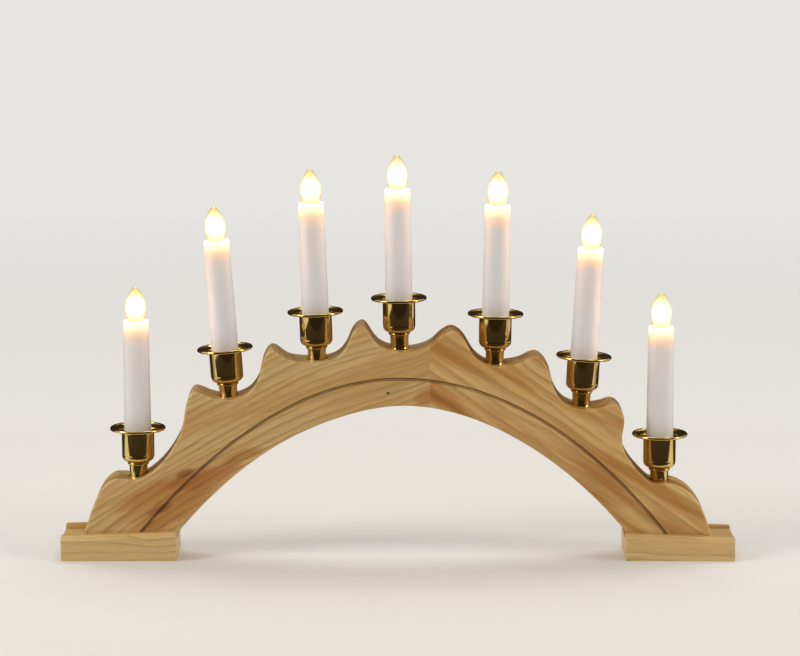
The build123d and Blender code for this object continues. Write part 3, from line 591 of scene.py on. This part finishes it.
for number in LAMP_NUMBERS:
    place = lamp_place(number)
    new_piece(f"cup_{number}", turned(CUP_PROFILE, place, 0.0, CUP_HEIGHT), brass_polished, "root",
              f"candle_cup_{number}")
    new_piece(f"pan_{number}", turned(PAN_PROFILE, place, PAN_FOOT, PAN_TOP), brass_polished, "root",
              f"drip_pan_{number}")
    new_piece(f"candle_{number}", turned(TUBE_PROFILE, place, TUBE_FOOT, TUBE_TOP), candle_plastic, "root",
              f"candle_tube_{number}")
    lamp_body = f"bulb_{number}"
    glass = new_piece(f"lamp_{number}", turned(GLASS_PROFILE, place, GLASS_FOOT, GLASS_TIP, 64), lamp_glass,
                      lamp_body, f"bulb_glass_{number}")
    glow = new_piece(f"glare_{number}", turned(GLARE_PROFILE, place, GLARE_FOOT, GLARE_TIP, 48, closed=False),
                     glare, lamp_body)
    # The lamp's own light passes both
    glass.visible_shadow = False
    glow.visible_shadow = False


# Wound wire: a helix along each candle's axis, made once as a tree of nodes and set for each use

def wound_wire_tree():
    """Geometry nodes that wind a round wire and set it at every given place, turned by its lean."""
    tree = bpy.data.node_groups.new("wound wire", "GeometryNodeTree")
    tree.interface.new_socket(name="Geometry", in_out="OUTPUT", socket_type="NodeSocketGeometry")
    tree.interface.new_socket(name="Places", in_out="INPUT", socket_type="NodeSocketGeometry")
    for name, kind in (("Coil Radius", "NodeSocketFloat"), ("Wire Radius", "NodeSocketFloat"),
                       ("Length", "NodeSocketFloat"), ("Turns", "NodeSocketFloat"),
                       ("Lowest", "NodeSocketFloat"), ("Across", "NodeSocketBool"),
                       ("Metal", "NodeSocketMaterial")):
        tree.interface.new_socket(name=name, in_out="INPUT", socket_type=kind)
    given = add_node(tree, "NodeGroupInput").outputs
    helix = add_node(tree, "GeometryNodeCurveSpiral", {
        "Resolution": 20, "Rotations": given["Turns"], "Start Radius": given["Coil Radius"],
        "End Radius": given["Coil Radius"], "Height": given["Length"]})
    start = add_node(tree, "ShaderNodeCombineXYZ", {"Z": given["Lowest"]})
    raised = add_node(tree, "GeometryNodeTransform", {
        "Geometry": helix.outputs[0], "Translation": start.outputs[0]})
    # A filament lies across the lamp: the same winding, laid on its side and centred
    half = add_node(tree, "ShaderNodeMath", {0: given["Length"], 1: -0.5}, operation="MULTIPLY")
    side = add_node(tree, "ShaderNodeCombineXYZ", {"X": half.outputs[0], "Z": given["Lowest"]})
    laid = add_node(tree, "GeometryNodeTransform", {
        "Geometry": helix.outputs[0], "Translation": side.outputs[0], "Rotation": (0, math.pi / 2, 0)})
    chosen = add_node(
        tree, "GeometryNodeSwitch",
        {"Switch": given["Across"], "False": raised.outputs[0], "True": laid.outputs[0]},
        input_type="GEOMETRY")
    section = add_node(tree, "GeometryNodeCurvePrimitiveCircle", {
        "Resolution": 8, "Radius": given["Wire Radius"]})
    wire = add_node(tree, "GeometryNodeCurveToMesh", {
        "Curve": chosen.outputs[0], "Profile Curve": section.outputs[0], "Fill Caps": True})
    smooth = add_node(tree, "GeometryNodeSetShadeSmooth", {"Geometry": wire.outputs[0]})
    lean = add_node(tree, "GeometryNodeInputNamedAttribute", {"Name": "lean"}, data_type="FLOAT")
    turn = add_node(tree, "ShaderNodeCombineXYZ", {"Y": lean.outputs[0]})
    placed = add_node(tree, "GeometryNodeInstanceOnPoints", {
        "Points": given["Places"], "Instance": smooth.outputs[0], "Rotation": turn.outputs[0]})
    real = add_node(tree, "GeometryNodeRealizeInstances", {"Geometry": placed.outputs[0]})
    painted = add_node(tree, "GeometryNodeSetMaterial", {
        "Geometry": real.outputs[0], "Material": given["Metal"]})
    add_node(tree, "NodeGroupOutput", {"Geometry": painted.outputs[0]})
    return tree


wound_wire = wound_wire_tree()


def wind(numbers, sizes):
    """Run the winding at some of the candles and return a plain mesh."""
    data = bpy.data.meshes.new("wound")
    data.from_pydata([lamp_place(number).translation for number in numbers], [], [])
    lean = data.attributes.new("lean", "FLOAT", "POINT")
    for point, number in enumerate(numbers):
        lean.data[point].value = math.radians(LAMP_LEAN[number - 1])
    holder = bpy.data.objects.new("winding", data)
    bpy.context.scene.collection.objects.link(holder)
    modifier = holder.modifiers.new("winding", "NODES")
    modifier.node_group = wound_wire
    for item in wound_wire.interface.items_tree:
        if item.in_out == "INPUT" and item.name in sizes:
            modifier[item.identifier] = sizes[item.name]
    evaluated = holder.evaluated_get(bpy.context.evaluated_depsgraph_get())
    result = bpy.data.meshes.new_from_object(evaluated)
    bpy.data.objects.remove(holder)
    return result


springs = wind(LAMP_NUMBERS, {
    "Coil Radius": 1.1 * MM, "Wire Radius": 0.16 * MM, "Length": 1.9 * MM, "Turns": 4.0, "Lowest": 83.3 * MM,
    "Across": False, "Metal": steel_spring})
new_piece("spring_coils", springs, None, "root", "contact_springs")
nipple_threads = wind(LAMP_NUMBERS, {
    "Coil Radius": 3.92 * MM, "Wire Radius": 0.22 * MM, "Length": 20.5 * MM, "Turns": 20.0,
    "Lowest": -7.4 * MM, "Across": False, "Metal": brass_turned})
new_piece("nipple_thread_ridges", nipple_threads, None, "root")
for number in LAMP_NUMBERS:
    filament = wind([number], {
        "Coil Radius": 0.3 * MM, "Wire Radius": 0.06 * MM, "Length": 3.6 * MM, "Turns": 14.0,
        "Lowest": 110.9 * MM, "Across": True, "Metal": tungsten})
    new_piece(f"filament_{number}", filament, None, f"bulb_{number}")

# The pieces that keep their sawn, turned or moulded solids get their own finishes
FINISHES = {
    "foot_screws": zinc_screw, "cup_nipples": brass_turned, "nipple_nuts": brass_turned,
    "lamp_sockets": holder_plastic, "wiring_harness": lead_sleeve, "lead_keepers": pine_keeper,
}
for number in LAMP_NUMBERS:
    for node in (f"socket_shell_{number}", f"contact_plunger_{number}", f"bulb_cap_{number}"):
        FINISHES[node] = brass_turned
for node, material in FINISHES.items():
    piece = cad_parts[node]
    if not piece.material_slots:
        piece.data.materials.append(material)
    for material_slot in piece.material_slots:
        material_slot.material = material

# Floor, flags and lamps of the studio

def floor_material():
    """Pale matt studio paper."""
    material, tree = start_material("pale studio paper")
    place = add_node(tree, "ShaderNodeTexCoord").outputs["Object"]
    tooth = add_node(tree, "ShaderNodeTexNoise", {"Vector": place, "Scale": 900.0, "Detail": 2.0})
    tone = add_node(tree, "ShaderNodeValToRGB", {
        "Fac": tooth.outputs["Fac"]}, [(0.3, "#E4E3E0"), (0.7, "#E8E7E4")])
    paper = add_node(tree, "ShaderNodeBsdfPrincipled", {
        "Base Color": tone.outputs["Color"], "Roughness": 0.9})
    # Away from the object the paper shows as evenly pale as it is near the lamps
    away = add_node(tree, "ShaderNodeVectorMath", {0: place}, operation="LENGTH")
    far = add_node(tree, "ShaderNodeMapRange", {
        "Value": away.outputs["Value"], "From Min": 0.5, "From Max": 1.7},
        interpolation_type="SMOOTHSTEP")
    ray = add_node(tree, "ShaderNodeLightPath").outputs
    mirrored = add_node(tree, "ShaderNodeMath", {
        0: ray["Is Camera Ray"], 1: ray["Is Glossy Ray"]}, operation="MAXIMUM")
    seen = add_node(tree, "ShaderNodeMath", {
        0: mirrored.outputs[0], 1: ray["Is Transmission Ray"]}, operation="MAXIMUM")
    share = add_node(tree, "ShaderNodeMath", {0: far.outputs[0], 1: seen.outputs[0]}, operation="MULTIPLY")
    even = add_node(tree, "ShaderNodeEmission", {"Color": tone.outputs["Color"], "Strength": 1.0})
    surface = add_node(tree, "ShaderNodeMixShader", {
        0: share.outputs[0], 1: paper.outputs[0], 2: even.outputs[0]})
    add_node(tree, "ShaderNodeOutputMaterial", {"Surface": surface.outputs[0]})
    return material


def flat_card(name, corners, material, sides=((0, 1, 2, 3),)):
    """A flat or once folded card of the studio, which isn't part of the object."""
    data = bpy.data.meshes.new(name)
    data.from_pydata(corners, [], list(sides))
    data.materials.append(material)
    card = bpy.data.objects.new(name, data)
    bpy.context.scene.collection.objects.link(card)
    return card


flat_card("studio_floor", [(-12, -12, 0), (12, -12, 0), (12, 12, 0), (-12, 12, 0)], floor_material())


def card_material():
    """Black felt, so that polished brass has something dark to show between the lamps."""
    material, tree = start_material("black felt flag")
    place = add_node(tree, "ShaderNodeTexCoord").outputs["Object"]
    nap = add_node(tree, "ShaderNodeTexNoise", {"Vector": place, "Scale": 40.0, "Detail": 2.0})
    tone = add_node(tree, "ShaderNodeValToRGB", {
        "Fac": nap.outputs["Fac"]}, [(0.3, "#2A2018"), (0.7, "#33281E")])
    felt = add_node(tree, "ShaderNodeBsdfPrincipled", {"Base Color": tone.outputs["Color"], "Roughness": 1.0})
    add_node(tree, "ShaderNodeOutputMaterial", {"Surface": felt.outputs[0]})
    return material


felt = card_material()
# Each flag lies on the floor from just beside the arch and then stands up
FLAG_NEAR, FLAG_FAR = 0.07, 0.40
FLAG_LOW, FLAG_FOLD, FLAG_TOP = 0.002, 0.012, 0.9
for name, left, right, side in (("flag_front", -0.50, 1.50, -1), ("flag_back", -1.50, 0.50, 1)):
    near, far = side * FLAG_NEAR, side * FLAG_FAR
    corners = [(left, near, FLAG_LOW), (right, near, FLAG_LOW), (right, far, FLAG_FOLD),
               (left, far, FLAG_FOLD), (right, far, FLAG_TOP), (left, far, FLAG_TOP)]
    flag = flat_card(name, corners, felt, [(0, 1, 2, 3), (3, 2, 4, 5)])
    flag.visible_camera = False
    flag.visible_transmission = False
    flag.visible_diffuse = False
    flag.visible_shadow = False


def soft_lamp(name, place, aim, size, power, colour):
    """A large soft lamp aimed at a point."""
    light = bpy.data.lights.new(name, "AREA")
    light.shape = "RECTANGLE"
    light.size, light.size_y = size
    light.energy = power
    light.color = paint(colour)[:3]
    lamp = bpy.data.objects.new(name, light)
    lamp.location = place
    lamp.rotation_euler = (Vector(aim) - Vector(place)).to_track_quat("-Z", "Y").to_euler()
    bpy.context.scene.collection.objects.link(lamp)


soft_lamp("key_left", (-2.1, -0.75, 1.35), (0, 0, 0.1), (0.9, 1.2), 25, "#FFF8EE")
soft_lamp("fill_right", (2.1, -0.55, 1.0), (0, 0, 0.12), (0.7, 1.3), 17, "#FFF6EA")
soft_lamp("top_back", (0.2, 0.9, 2.1), (0, 0, 0.1), (1.6, 0.8), 14, "#FFFFFF")

# The candles' lamps light their neighbours and the wood around the cups, from the filament's height
WARM_LIGHT_HEIGHT = 0.108
for number in LAMP_NUMBERS:
    light = bpy.data.lights.new(f"lamp_light_{number}", "POINT")
    light.energy = 0.05
    light.color = paint("#FFC08A")[:3]
    light.shadow_soft_size = 0.005
    lamp = bpy.data.objects.new(f"lamp_light_{number}", light)
    lamp.location = lamp_place(number) @ Vector((0, 0, WARM_LIGHT_HEIGHT))
    lamp.visible_glossy = False
    lamp.visible_transmission = False
    bpy.context.scene.collection.objects.link(lamp)

world = bpy.data.worlds.new("soft room")
bpy.context.scene.world = world
world.use_nodes = True
world.node_tree.nodes.clear()
room = add_node(world.node_tree, "ShaderNodeBackground", {"Color": paint("#F4F3F0"), "Strength": 0.55})
add_node(world.node_tree, "ShaderNodeOutputWorld", {"Surface": room.outputs[0]})

bpy.context.scene.view_settings.view_transform = "Standard"

# Camera, where the photograph was taken from
camera_data = bpy.data.cameras.new("camera")
camera_data.sensor_width = 36.0
camera_data.lens = 143.55
camera_data.clip_end = 60.0
camera = bpy.data.objects.new("camera", camera_data)
CAMERA_AIM = Vector((0.0013, 0.0, 0.1438))
CAMERA_REACH = 1.982
CAMERA_HEIGHT_ANGLE = math.radians(10.0)
camera.location = CAMERA_AIM + Vector((
    0, -CAMERA_REACH * math.cos(CAMERA_HEIGHT_ANGLE), CAMERA_REACH * math.sin(CAMERA_HEIGHT_ANGLE)))
camera.rotation_euler = (math.radians(90) - CAMERA_HEIGHT_ANGLE, 0, 0)
bpy.context.scene.collection.objects.link(camera)
bpy.context.scene.camera = camera
